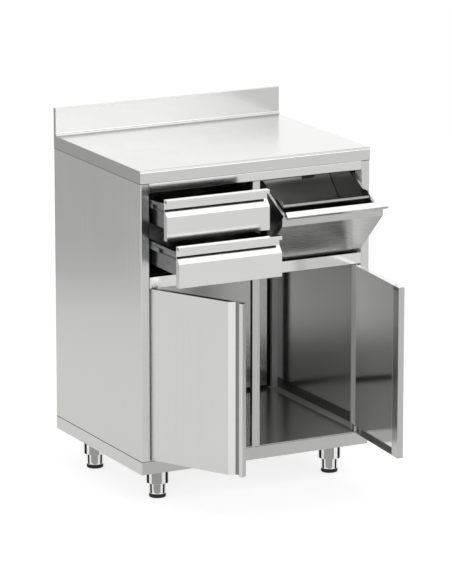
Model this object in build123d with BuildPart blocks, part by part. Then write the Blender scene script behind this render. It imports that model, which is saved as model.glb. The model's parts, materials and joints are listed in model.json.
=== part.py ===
from build123d import *
import os
from math import atan2, cos, degrees, hypot, radians, sin, tan

# A free-standing stainless steel cabinet for a coffee machine: worktop with an upstand, two drawers,
# a tilt-out knock-out hopper, two doors and four adjustable legs. Millimetres, +Z up, front towards -Y.
# The origin is on the floor, under the middle of the box that holds the cabinet with its fronts open.

os.makedirs("parts", exist_ok=True)

# Overall sizes
cabinet_width = 800.0
cabinet_depth = 620.0
leg_height = 100.0
base_height = 42.0
worktop_thickness = 40.0
upstand_height = 90.0
upstand_thickness = 15.5

# Sheets, folds and clearances
sheet = 1.2
front_sheet = 1.0
worktop_sheet = 1.5
bend_radius = 2.5
reveal = 1.0
overrun = 5.0
running_gap = 0.05
slip_gap = 0.1
stop_gap = 0.3

# Face frame
post_width = 29.0
post_depth = 41.0
centre_post_width = 28.0
centre_post_offset = -1.0
mullion_depth = 13.0
rear_post_depth = 16.0
top_rail_height = 29.0
mid_rail_height = 36.0
bay_gap = 7.0
front_gap = 2.0
post_gap = 1.0
door_gap = 1.4

# Fronts, which all carry the same folded grip along one edge
front_thickness = 20.0
drawer_height = 127.0
door_height = 544.0
nose_height = 12.5
recess_height = 18.5
recess_depth = 18.0
chamfer_height = 21.0
grip_back = 42.0
fold_radius = 1.5
door_edge_radius = 6.0
grip_hole_radius = 2.5
grip_hole_inset = 5.0
grip_hole_depth = 9.0

# How far the moving pieces stand open at rest
upper_drawer_pull = 118.0
lower_drawer_pull = 199.0
hopper_open = 46.0
left_door_open = 62.0
right_door_open = 85.0

# Door pivots
door_pivot_inset = 10.0
door_pivot_depth = 8.0
pin_radius = 3.0
pin_head_radius = 5.0
hopper_head_radius = 3.5
pin_head_height = 3.0
pin_reach = 12.0
bush_radius = 4.6
bush_length = 14.0
door_foot_recess = 26.0

# Hopper pivot
hopper_pivot_depth = 7.0
hopper_pivot_rise = 8.0

# Levels, from the floor up
base_bottom = leg_height
base_top = base_bottom + base_height
floor_top = base_top + sheet
door_bottom = floor_top + door_gap
door_top = door_bottom + door_height
mid_rail_bottom = door_top + door_gap
mid_rail_top = mid_rail_bottom + mid_rail_height
lower_drawer_bottom = mid_rail_top + bay_gap
lower_drawer_top = lower_drawer_bottom + drawer_height
upper_drawer_bottom = lower_drawer_top + front_gap
upper_drawer_top = upper_drawer_bottom + drawer_height
top_rail_bottom = upper_drawer_top + front_gap
carcass_top = top_rail_bottom + top_rail_height
worktop_top = carcass_top + worktop_thickness
upstand_top = worktop_top + upstand_height

# Places across the width
half_width = cabinet_width / 2
skin_x = half_width - reveal
skin_inner_x = skin_x - sheet
opening_x = skin_x - post_width
centre_left_x = centre_post_offset - centre_post_width / 2
centre_right_x = centre_post_offset + centre_post_width / 2
left_front_low_x = -opening_x + post_gap
left_front_high_x = centre_left_x - front_gap
right_front_low_x = centre_right_x + front_gap
right_front_high_x = opening_x - post_gap
left_front_width = left_front_high_x - left_front_low_x
right_front_width = right_front_high_x - right_front_low_x

# Places along the depth. The right door, which stands open furthest, sets the front of the whole box.
right_leaf = right_front_width - door_pivot_inset
right_door_reach = (
    right_leaf * sin(radians(right_door_open))
    + door_pivot_depth * cos(radians(right_door_open))
    - door_pivot_depth
)
front_y = (right_door_reach - cabinet_depth) / 2
back_y = front_y + cabinet_depth
back_panel_y = back_y - reveal - sheet
rear_post_y = back_y - rear_post_depth
left_pivot = (left_front_low_x + door_pivot_inset, front_y + door_pivot_depth)
right_pivot = (right_front_high_x - door_pivot_inset, front_y + door_pivot_depth)
hopper_bottom = lower_drawer_bottom
hopper_top = upper_drawer_top
hopper_pivot_y = front_y + hopper_pivot_depth
hopper_pivot_z = hopper_bottom + hopper_pivot_rise


def folded_section(*points, side, thickness=sheet, radius=bend_radius):
    """The section of a folded sheet. The points trace its outer face, and the sheet lies on one side."""
    with BuildSketch() as section:
        with BuildLine():
            FilletPolyline(*points, radius=radius)
            offset(amount=thickness, side=side)
        make_face()
    return section.sketch


def block(low, high, mode=Mode.ADD):
    """A block between its lowest and its highest corner."""
    with Locations(tuple((a + b) / 2 for a, b in zip(low, high))):
        Box(*(b - a for a, b in zip(low, high)), mode=mode)


def save(piece, name):
    """Labels a finished piece and writes it to its own file."""
    piece.label = name
    export_step(piece, f"parts/{name}.step")


# Worktop: one sheet, rolled over at the front, coved up into the upstand and closed at both ends
worktop_edge_radius = 8.0
cove_radius = 11.0
upstand_front_y = back_y - upstand_thickness
worktop_end_round = 1.0


def worktop_section(inset, bottom):
    """The outline of the worktop and upstand, drawn in by an inset and open at its bottom level."""
    with BuildSketch() as section:
        with BuildLine():
            FilletPolyline(
                (front_y + inset, bottom),
                (front_y + inset, worktop_top - inset),
                (upstand_front_y + inset, worktop_top - inset),
                (upstand_front_y + inset, upstand_top - inset),
                (back_y - inset, upstand_top - inset),
                (back_y - inset, bottom),
                radius=(
                    worktop_edge_radius - inset,
                    cove_radius + inset,
                    worktop_sheet - inset,
                    worktop_sheet - inset,
                ),
            )
            Line((back_y - inset, bottom), (front_y + inset, bottom))
        make_face()
    return section.sketch


with BuildPart() as worktop:
    with BuildSketch(Plane.YZ.offset(-half_width)):
        add(worktop_section(0, carcass_top))
    extrude(amount=cabinet_width)
    for end in (0, -1):
        end_edges = worktop.faces().sort_by(Axis.X)[end].edges()
        upper_edges = end_edges.filter_by(lambda edge: edge.center().Z > carcass_top + reveal)
        fillet(upper_edges, radius=worktop_end_round)
    with BuildSketch(Plane.YZ.offset(-half_width + worktop_sheet)):
        add(worktop_section(worktop_sheet, carcass_top - overrun))
    extrude(amount=cabinet_width - 2 * worktop_sheet, mode=Mode.SUBTRACT)
save(worktop.part, "worktop")

# Core board, which fills the worktop under its sheet
with BuildPart() as worktop_core:
    with BuildSketch(Plane.YZ.offset(-half_width + worktop_sheet)):
        with BuildLine():
            FilletPolyline(
                (front_y + worktop_sheet, carcass_top),
                (front_y + worktop_sheet, worktop_top - worktop_sheet),
                (back_y - worktop_sheet, worktop_top - worktop_sheet),
                (back_y - worktop_sheet, carcass_top),
                radius=(worktop_edge_radius - worktop_sheet, 0),
            )
            Line((back_y - worktop_sheet, carcass_top), (front_y + worktop_sheet, carcass_top))
        make_face()
    extrude(amount=cabinet_width - 2 * worktop_sheet)
save(worktop_core.part, "worktop_core")

# Side panels: skin, front post with its return, and flanges at the top and bottom, from one sheet
bottom_flange = 34.2
post_radius = 3.0
for hand, side_name, fold_side in ((-1, "left", Side.RIGHT), (1, "right", Side.LEFT)):
    with BuildPart() as side_panel:
        with BuildSketch(Plane.XY.offset(base_top)):
            add(
                folded_section(
                    (hand * opening_x, front_y + post_depth),
                    (hand * opening_x, front_y),
                    (hand * skin_x, front_y),
                    (hand * skin_x, back_panel_y + sheet),
                    side=fold_side,
                    radius=post_radius,
                )
            )
        extrude(amount=carcass_top - base_top)
        with BuildSketch(Plane.XY.offset(base_top)):
            with Locations((hand * (skin_inner_x - bottom_flange / 2), (front_y + back_panel_y) / 2)):
                Rectangle(bottom_flange, back_panel_y - front_y)
        extrude(amount=sheet)
        with BuildSketch(Plane.XY.offset(carcass_top - sheet)):
            with Locations((hand * (skin_inner_x + opening_x) / 2, (front_y + sheet + back_panel_y) / 2)):
                Rectangle(skin_inner_x - opening_x, back_panel_y - front_y - sheet)
        extrude(amount=sheet)
        if hand > 0:
            with BuildSketch(Plane.YZ.offset(opening_x - slip_gap)):
                with Locations((hopper_pivot_y, hopper_pivot_z)):
                    Circle(pin_radius + running_gap)
            extrude(amount=sheet + 2 * slip_gap, mode=Mode.SUBTRACT)
    save(side_panel.part, f"side_panel_{side_name}")

# Rear posts, one in each rear corner between the skin and the back panel
rear_post_width = 20.4
with BuildPart() as rear_posts:
    with BuildSketch(Plane.XY.offset(floor_top)):
        add(
            folded_section(
                (-skin_inner_x, rear_post_y),
                (-skin_inner_x + rear_post_width, rear_post_y),
                (-skin_inner_x + rear_post_width, back_panel_y),
                side=Side.LEFT,
            )
        )
    extrude(amount=carcass_top - sheet - floor_top)
    mirror(about=Plane.YZ)
save(rear_posts.part, "rear_posts")

# Back panel, set between the side skins
with BuildPart() as back_panel:
    block((-skin_inner_x, back_panel_y, base_top), (skin_inner_x, back_panel_y + sheet, carcass_top))
save(back_panel.part, "back_panel")

# Inner back liner: a shallow tray on the back panel, clear of the compartment floor
liner_inset = 43.0
liner_half_width = half_width - liner_inset
liner_depth = 18.2
liner_foot_gap = 11.0
bay_floor_lift = 3.0
bay_floor_bottom = mid_rail_top + bay_floor_lift
with BuildPart() as back_liner:
    with BuildSketch(Plane.XY.offset(floor_top + liner_foot_gap)):
        add(
            folded_section(
                (-liner_half_width, back_panel_y),
                (-liner_half_width, back_panel_y - liner_depth),
                (liner_half_width, back_panel_y - liner_depth),
                (liner_half_width, back_panel_y),
                side=Side.LEFT,
            )
        )
    extrude(amount=bay_floor_bottom - floor_top - liner_foot_gap)
save(back_liner.part, "back_liner")

# Base tray: open at the top, with a flange turned in all round
tray_flange = 30.0
leg_front_inset = 94.0
leg_front_depth = 81.0
leg_rear_inset = 64.0
leg_rear_setback = 151.0
bolt_radius = 5.0
leg_places = {
    "front_left": (leg_front_inset - half_width, front_y + leg_front_depth),
    "front_right": (half_width - leg_front_inset, front_y + leg_front_depth),
    "rear_left": (leg_rear_inset - half_width, back_y - leg_rear_setback),
    "rear_right": (half_width - leg_rear_inset, back_y - leg_rear_setback),
}
with BuildPart() as base_tray:
    block((-half_width, front_y, base_bottom), (half_width, back_y, base_top))
    fillet(base_tray.edges().filter_by(Axis.Z), radius=bend_radius)
    block(
        (-half_width + sheet, front_y + sheet, base_bottom + sheet),
        (half_width - sheet, back_y - sheet, base_top - sheet),
        mode=Mode.SUBTRACT,
    )
    block(
        (-half_width + tray_flange, front_y + tray_flange, base_bottom + sheet),
        (half_width - tray_flange, back_y - tray_flange, base_top + overrun),
        mode=Mode.SUBTRACT,
    )
    with BuildSketch(Plane.XY.offset(base_bottom)):
        with Locations(*leg_places.values()):
            Circle(bolt_radius + slip_gap)
    extrude(amount=sheet, mode=Mode.SUBTRACT)
    with BuildSketch(Plane.XY.offset(base_top - sheet)):
        with Locations(left_pivot, right_pivot):
            Circle(pin_radius + running_gap)
    extrude(amount=sheet, mode=Mode.SUBTRACT)
save(base_tray.part, "base_tray")

# Two stiffeners under the compartment floor
stiffener_width = 60.0
stiffener_x = 120.0
with BuildPart() as base_stiffeners:
    with BuildSketch(Plane.XZ.offset(-(front_y + tray_flange))):
        for middle in (-stiffener_x, stiffener_x):
            add(
                folded_section(
                    (middle - stiffener_width / 2, base_bottom + sheet),
                    (middle - stiffener_width / 2, base_top),
                    (middle + stiffener_width / 2, base_top),
                    (middle + stiffener_width / 2, base_bottom + sheet),
                    side=Side.RIGHT,
                )
            )
    extrude(amount=-(cabinet_depth - 2 * tray_flange))
save(base_stiffeners.part, "base_stiffeners")

# Compartment floor, flush with the bottom flanges of the side panels
floor_half_width = skin_inner_x - bottom_flange
with BuildPart() as compartment_floor:
    block((-floor_half_width, front_y, base_top), (floor_half_width, back_panel_y, floor_top))
    with BuildSketch(Plane.XY.offset(base_top)):
        with Locations(left_pivot, right_pivot):
            Circle(pin_radius + running_gap)
    extrude(amount=sheet, mode=Mode.SUBTRACT)
save(compartment_floor.part, "compartment_floor")

# Rails between the posts
with BuildPart() as top_rail_front:
    with BuildSketch(Plane.YZ.offset(-opening_x)):
        add(
            folded_section(
                (front_y + post_depth, top_rail_bottom),
                (front_y, top_rail_bottom),
                (front_y, carcass_top),
                (front_y + post_depth, carcass_top),
                side=Side.RIGHT,
            )
        )
    extrude(amount=2 * opening_x)
save(top_rail_front.part, "top_rail_front")

with BuildPart() as top_rail_rear:
    with BuildSketch(Plane.YZ.offset(-opening_x)):
        add(
            folded_section(
                (back_panel_y, top_rail_bottom),
                (back_panel_y, carcass_top),
                (back_panel_y - post_depth, carcass_top),
                side=Side.LEFT,
            )
        )
    extrude(amount=2 * opening_x)
save(top_rail_rear.part, "top_rail_rear")

with BuildPart() as mid_rail:
    with BuildSketch(Plane.YZ.offset(-opening_x)):
        add(
            folded_section(
                (front_y + post_depth, mid_rail_bottom),
                (front_y, mid_rail_bottom),
                (front_y, mid_rail_top),
                side=Side.RIGHT,
            )
        )
    extrude(amount=2 * opening_x)
    with BuildSketch(Plane.XY.offset(mid_rail_bottom)):
        with Locations(left_pivot, right_pivot):
            Circle(pin_radius + running_gap)
    extrude(amount=sheet, mode=Mode.SUBTRACT)
save(mid_rail.part, "mid_rail")

# Bay floor, which stands on the middle rail's flange with its folded front edge
bay_floor_setback = 25.0
bay_floor_front_y = front_y + bay_floor_setback
bay_floor_top = bay_floor_bottom + sheet
bay_floor_flange = 15.0
with BuildPart() as bay_floor:
    block((-skin_inner_x, front_y + post_depth, bay_floor_bottom), (skin_inner_x, rear_post_y, bay_floor_top))
    block((-opening_x, bay_floor_front_y, bay_floor_bottom), (opening_x, front_y + post_depth, bay_floor_top))
    block(
        (-opening_x, bay_floor_front_y, mid_rail_bottom + sheet),
        (opening_x, bay_floor_front_y + sheet, bay_floor_bottom),
    )
    for hand in (-1, 1):
        edge_xs = sorted((hand * skin_inner_x, hand * (skin_inner_x - sheet)))
        block(
            (edge_xs[0], front_y + post_depth, bay_floor_bottom - bay_floor_flange),
            (edge_xs[1], rear_post_y, bay_floor_bottom),
        )
    block(
        (centre_left_x, front_y, mid_rail_bottom),
        (centre_right_x, front_y + post_depth, bay_floor_top + overrun),
        mode=Mode.SUBTRACT,
    )
save(bay_floor.part, "bay_floor")

# Centre post: its front stands on the middle rail, its lower end reaches down behind it
with BuildPart() as centre_post:
    with BuildSketch(Plane.XY.offset(mid_rail_top)):
        add(
            folded_section(
                (centre_left_x, front_y + post_depth),
                (centre_left_x, front_y),
                (centre_right_x, front_y),
                (centre_right_x, front_y + post_depth),
                side=Side.LEFT,
            )
        )
    extrude(amount=top_rail_bottom - mid_rail_top)
    with BuildSketch(Plane.XY.offset(mid_rail_bottom + sheet)):
        add(
            folded_section(
                (centre_left_x, front_y + post_depth),
                (centre_left_x, front_y + bend_radius),
                (centre_right_x, front_y + bend_radius),
                (centre_right_x, front_y + post_depth),
                side=Side.LEFT,
            )
        )
    extrude(amount=mid_rail_top - mid_rail_bottom - sheet)
    with BuildSketch(Plane.YZ.offset(centre_right_x - sheet - slip_gap)):
        with Locations((hopper_pivot_y, hopper_pivot_z)):
            Circle(pin_radius + running_gap)
    extrude(amount=sheet + 2 * slip_gap, mode=Mode.SUBTRACT)
save(centre_post.part, "centre_post")

# Mullion between the doors
with BuildPart() as mullion:
    with BuildSketch(Plane.XY.offset(floor_top)):
        add(
            folded_section(
                (centre_left_x, front_y + mullion_depth),
                (centre_left_x, front_y),
                (centre_right_x, front_y),
                (centre_right_x, front_y + mullion_depth),
                side=Side.LEFT,
            )
        )
    extrude(amount=mid_rail_bottom - floor_top)
save(mullion.part, "mullion")

# Drawer slides: a fixed channel, a middle member and a channel on the box, at each side of each drawer
slide_width = 12.7
slide_height = 17.0
slide_flange = 6.0
slide_length = 480.0
slide_drop = 28.0
slide_middle_inset = 3.2
slide_middle_gap = 0.3
slide_start_y = front_y + post_depth
screw_radius = 2.0
screw_head_radius = 3.5
screw_head_height = 1.5
screw_length = 6.0
screw_shares = (0.12, 0.5, 0.88)
screw_places = [slide_start_y + share * slide_length for share in screw_shares]
drawer_bay_middle_x = (-opening_x + centre_left_x) / 2
drawer_tops = {"upper": upper_drawer_top, "lower": lower_drawer_top}
drawer_pulls = {"upper": upper_drawer_pull, "lower": lower_drawer_pull}
slide_tops = {name: top - slide_drop for name, top in drawer_tops.items()}


def slide_holes(face_x, depth):
    """Cuts the screw holes of the slides through a wall, from its face along +X."""
    with BuildSketch(Plane.YZ.offset(face_x)) as holes:
        with Locations(*[(y, top - slide_height / 2) for y in screw_places for top in slide_tops.values()]):
            Circle(screw_radius + slip_gap)
    extrude(holes.sketch, amount=depth, mode=Mode.SUBTRACT)


# Partition between the drawer bay and the hopper bay, behind the centre post
with BuildPart() as bay_partition:
    with BuildSketch(Plane.XY.offset(bay_floor_top)):
        add(
            folded_section(
                (centre_left_x, front_y + post_depth),
                (centre_left_x, rear_post_y),
                (centre_right_x, rear_post_y),
                (centre_right_x, front_y + post_depth),
                side=Side.RIGHT,
            )
        )
    extrude(amount=top_rail_bottom - bay_floor_top)
    slide_holes(centre_left_x - slip_gap, sheet + 2 * slip_gap)
save(bay_partition.part, "bay_partition")

# Bay liners, in line with the inner faces of the posts
for hand, side_name, fold_side in ((-1, "left", Side.LEFT), (1, "right", Side.RIGHT)):
    with BuildPart() as bay_liner:
        with BuildSketch(Plane.XY.offset(bay_floor_top)):
            add(
                folded_section(
                    (hand * opening_x, front_y + post_depth),
                    (hand * opening_x, rear_post_y),
                    (hand * skin_inner_x, rear_post_y),
                    side=fold_side,
                )
            )
        extrude(amount=top_rail_bottom - bay_floor_top)
        if hand < 0:
            slide_holes(-opening_x - sheet - slip_gap, sheet + 2 * slip_gap)
    save(bay_liner.part, f"bay_liner_{side_name}")

# Leg plates in the base tray, and the bolts that hold the legs
leg_plate_width = 90.0
leg_plate_thickness = 3.0
bolt_head_radius = 8.0
bolt_head_height = 6.0
bolt_head_sides = 6
sleeve_top_thickness = 8.0
leg_plate_top = base_bottom + sheet + leg_plate_thickness
with BuildPart() as leg_plates:
    with BuildSketch(Plane.XY.offset(base_bottom + sheet)):
        with Locations(*leg_places.values()):
            Rectangle(leg_plate_width, leg_plate_width)
            Circle(bolt_radius + slip_gap, mode=Mode.SUBTRACT)
    extrude(amount=leg_plate_thickness)
save(leg_plates.part, "leg_plates")

with BuildPart() as leg_bolts:
    with BuildSketch(Plane.XY.offset(leg_plate_top)):
        with Locations(*leg_places.values()):
            RegularPolygon(bolt_head_radius, bolt_head_sides)
    extrude(amount=bolt_head_height)
    with BuildSketch(Plane.XY.offset(base_bottom - sleeve_top_thickness)):
        with Locations(*leg_places.values()):
            Circle(bolt_radius)
    extrude(amount=leg_plate_top - base_bottom + sleeve_top_thickness)
save(leg_bolts.part, "leg_bolts")

# Legs: a fixed sleeve, and a foot that slides in it for levelling
sleeve_radius = 36.5
sleeve_mouth_radius = 28.5
sleeve_cone_height = 3.0
sleeve_height = 55.0
foot_radius = 27.0
foot_low_radius = 26.0
foot_wall = 1.5
foot_overlap = 35.0
foot_gap = 0.3
pad_height = 8.0
pad_radius = 26.5
pad_round = 2.5
pad_plug_height = 12.0
sleeve_bottom = leg_height - sleeve_height
sleeve_cone_top = sleeve_bottom + sleeve_cone_height
foot_top = sleeve_bottom + foot_overlap
with BuildPart() as leg_sleeves:
    for x, y in leg_places.values():
        with BuildSketch(Plane.XZ.offset(-y)):
            with BuildLine():
                Polyline(
                    (x, base_bottom),
                    (x + sleeve_radius, base_bottom),
                    (x + sleeve_radius, sleeve_cone_top),
                    (x + sleeve_mouth_radius, sleeve_bottom),
                    (x + foot_radius + foot_gap, sleeve_bottom),
                    (x + foot_radius + foot_gap, base_bottom - sleeve_top_thickness),
                    (x, base_bottom - sleeve_top_thickness),
                    close=True,
                )
            make_face()
        revolve(axis=Axis((x, y, 0), (0, 0, 1)))
    with BuildSketch(Plane.XY.offset(base_bottom - sleeve_top_thickness)):
        with Locations(*leg_places.values()):
            Circle(bolt_radius + slip_gap)
    extrude(amount=sleeve_top_thickness, mode=Mode.SUBTRACT)
save(leg_sleeves.part, "leg_sleeves")

for place, (x, y) in leg_places.items():
    with BuildPart() as foot_tube:
        with BuildSketch(Plane.XZ.offset(-y)):
            with BuildLine():
                Polyline(
                    (x + foot_radius - foot_wall, foot_top),
                    (x + foot_radius, foot_top),
                    (x + foot_radius, sleeve_bottom),
                    (x + foot_low_radius, pad_height),
                    (x + foot_low_radius - foot_wall, pad_height),
                    (x + foot_radius - foot_wall, sleeve_bottom),
                    close=True,
                )
            make_face()
        revolve(axis=Axis((x, y, 0), (0, 0, 1)))
    save(foot_tube.part, f"foot_tube_{place}")

    with BuildPart() as foot_pad:
        with BuildSketch(Plane.XY):
            with Locations((x, y)):
                Circle(pad_radius)
        extrude(amount=pad_height)
        fillet(foot_pad.edges().group_by(Axis.Z)[0], radius=pad_round)
        with BuildSketch(Plane.XY.offset(pad_height)):
            with Locations((x, y)):
                Circle(foot_low_radius - foot_wall - foot_gap)
        extrude(amount=pad_plug_height)
    save(foot_pad.part, f"foot_pad_{place}")

# Fixed channels of the slides
slide_far_x = -opening_x + slide_width
with BuildPart() as runner_channels:
    for top in slide_tops.values():
        with BuildSketch(Plane.XZ.offset(-slide_start_y)):
            add(
                folded_section(
                    (-opening_x + slide_flange, top),
                    (-opening_x, top),
                    (-opening_x, top - slide_height),
                    (-opening_x + slide_flange, top - slide_height),
                    side=Side.LEFT,
                )
            )
        extrude(amount=-slide_length)
    slide_holes(-opening_x - slip_gap, sheet + 2 * slip_gap)
    mirror(about=Plane.YZ.offset(drawer_bay_middle_x))
save(runner_channels.part, "runner_channels")

with BuildPart() as runner_screws:
    for top in slide_tops.values():
        places = [(y, top - slide_height / 2) for y in screw_places]
        with BuildSketch(Plane.YZ.offset(-opening_x + sheet)):
            with Locations(*places):
                Circle(screw_head_radius)
        extrude(amount=screw_head_height)
        with BuildSketch(Plane.YZ.offset(-opening_x + sheet)):
            with Locations(*places):
                Circle(screw_radius)
        extrude(amount=-screw_length)
    mirror(about=Plane.YZ.offset(drawer_bay_middle_x))
save(runner_screws.part, "runner_screws")


def front_section(breadth, far_radius, inner_depth):
    """Section of a front from its grip edge: the nose, the finger recess, the chamfer and the flat face."""
    chamfer_start = nose_height + recess_height
    face_start = chamfer_start + chamfer_height
    with BuildSketch() as section:
        with BuildLine():
            Polyline(
                (0, 0),
                (nose_height, 0),
                (nose_height, recess_depth),
                (chamfer_start, recess_depth),
                (face_start, 0),
                (breadth, 0),
                (breadth, inner_depth),
                (0, inner_depth),
                close=True,
            )
        make_face()
        far_corner = section.vertices().group_by(Axis.X)[-1].sort_by(Axis.Y)[0]
        fillet(far_corner, radius=far_radius)
        near_corners = section.vertices().group_by(Axis.Y)[0].sort_by(Axis.X)[:3]
        fillet(near_corners, radius=fold_radius)
    return section.sketch


def front_hollows(breadth, far_radius, inner_depth):
    """Section of the two hollows behind a front's skin: in the nose and behind the flat face."""
    slope = chamfer_height / recess_depth
    wall_run = front_sheet * hypot(1, slope)
    chamfer_end = nose_height + recess_height + slope * recess_depth + wall_run
    with BuildSketch() as section:
        with BuildLine():
            Polyline(
                (front_sheet, front_sheet),
                (nose_height - front_sheet, front_sheet),
                (nose_height - front_sheet, inner_depth),
                (front_sheet, inner_depth),
                close=True,
            )
        make_face()
        with BuildLine():
            Polyline(
                (chamfer_end - slope * inner_depth, inner_depth),
                (chamfer_end - slope * front_sheet, front_sheet),
                (breadth - front_sheet, front_sheet),
                (breadth - front_sheet, inner_depth),
                close=True,
            )
        make_face()
        far_corner = section.vertices().group_by(Axis.X)[-1].sort_by(Axis.Y)[0]
        fillet(far_corner, radius=far_radius - front_sheet)
    return section.sketch


def grip_plane(grip_corner, away, along):
    """Plane of a front's section: X runs away from the grip edge, Y into the cabinet, Z along the grip."""
    return Plane(origin=grip_corner, x_dir=away, z_dir=along)


def turn(piece, pivot, along, angle):
    """Swings a finished piece about its pivot line."""
    return piece.rotate(Axis(pivot, along), angle)


down = (0, 0, -1)
up = (0, 0, 1)
leftwards = (-1, 0, 0)
rightwards = (1, 0, 0)
left_pivot_line = ((*left_pivot, 0), up, -left_door_open)
right_pivot_line = ((*right_pivot, 0), up, right_door_open)
hopper_pivot_line = ((0, hopper_pivot_y, hopper_pivot_z), rightwards, hopper_open)
still = ((0, 0, 0), up, 0)
right_height = hopper_top - hopper_bottom
upper_front_y = front_y - upper_drawer_pull
lower_front_y = front_y - lower_drawer_pull

# Each front: plane, length along the grip, breadth away from it, far edge's rounding, and its swing
fronts = {
    "upper_drawer": (
        grip_plane((left_front_low_x, upper_front_y, upper_drawer_top), down, rightwards),
        left_front_width, drawer_height, fold_radius, still,
    ),
    "lower_drawer": (
        grip_plane((left_front_low_x, lower_front_y, lower_drawer_top), down, rightwards),
        left_front_width, drawer_height, fold_radius, still,
    ),
    "hopper": (
        grip_plane((right_front_low_x, front_y, hopper_top), down, rightwards),
        right_front_width, right_height, fold_radius, hopper_pivot_line,
    ),
    "left_door": (
        grip_plane((left_front_high_x, front_y, door_top), leftwards, down),
        door_height, left_front_width, door_edge_radius, left_pivot_line,
    ),
    "right_door": (
        grip_plane((right_front_low_x, front_y, door_bottom), rightwards, up),
        door_height, right_front_width, door_edge_radius, right_pivot_line,
    ),
}
# Places of the bushes in a front's own section, from its grip corner
bush_places = {
    "hopper": (right_height - hopper_pivot_rise, hopper_pivot_depth),
    "left_door": (left_front_width - door_pivot_inset, door_pivot_depth),
    "right_door": (right_front_width - door_pivot_inset, door_pivot_depth),
}
skin_depth = front_thickness - front_sheet

for name, (plane, length, breadth, far_radius, swing) in fronts.items():
    # Skin with the folded grip, closed at both ends
    with BuildPart() as front_skin:
        with BuildSketch(plane):
            add(front_section(breadth, far_radius, skin_depth))
        extrude(amount=length)
        with BuildSketch(plane.offset(front_sheet)):
            add(front_hollows(breadth, far_radius, skin_depth))
        extrude(amount=length - 2 * front_sheet, mode=Mode.SUBTRACT)
        with BuildSketch(plane):
            with BuildLine():
                Polyline(
                    (0, skin_depth),
                    (grip_back, skin_depth),
                    (grip_back, front_thickness),
                    (0, front_thickness),
                    close=True,
                )
            make_face()
        extrude(amount=length)
        with BuildSketch(plane.offset(-slip_gap)):
            with Locations((grip_hole_inset, grip_hole_depth)):
                Circle(grip_hole_radius)
        extrude(amount=length + 2 * slip_gap, mode=Mode.SUBTRACT)
        if name in bush_places:
            with BuildSketch(plane.offset(-slip_gap)):
                with Locations(bush_places[name]):
                    Circle(bush_radius + running_gap)
            extrude(amount=length + 2 * slip_gap, mode=Mode.SUBTRACT)
    save(turn(front_skin.part, *swing), f"{name}_front" if "door" not in name else f"{name}_skin")

    # Back sheet; on a door it stops short of the foot and is folded in towards the skin there
    is_door = "door" in name
    low_cut = door_foot_recess if name == "right_door" else 0
    high_cut = door_foot_recess if name == "left_door" else 0
    with BuildPart() as front_liner:
        with BuildSketch(plane.offset(low_cut)):
            with BuildLine():
                Polyline(
                    (grip_back, skin_depth),
                    (breadth, skin_depth),
                    (breadth, front_thickness),
                    (grip_back, front_thickness),
                    close=True,
                )
            make_face()
        extrude(amount=length - low_cut - high_cut)
        if is_door:
            fold_start = low_cut if low_cut else length - high_cut - front_sheet
            with BuildSketch(plane.offset(fold_start)):
                with BuildLine():
                    Polyline(
                        (grip_back + recess_depth, front_sheet + stop_gap),
                        (breadth - door_edge_radius, front_sheet + stop_gap),
                        (breadth - door_edge_radius, skin_depth),
                        (grip_back + recess_depth, skin_depth),
                        close=True,
                    )
                make_face()
            extrude(amount=front_sheet)
    save(turn(front_liner.part, *swing), f"{name}_liner")

    # Bushes pressed into both ends of the swinging fronts
    if name in bush_places:
        with BuildPart() as bushes:
            for start in (0, length - bush_length):
                with BuildSketch(plane.offset(start)):
                    with Locations(bush_places[name]):
                        Circle(bush_radius)
                        Circle(pin_radius + running_gap, mode=Mode.SUBTRACT)
                extrude(amount=bush_length)
        save(turn(bushes.part, *swing), f"{name}_bushes")

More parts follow.
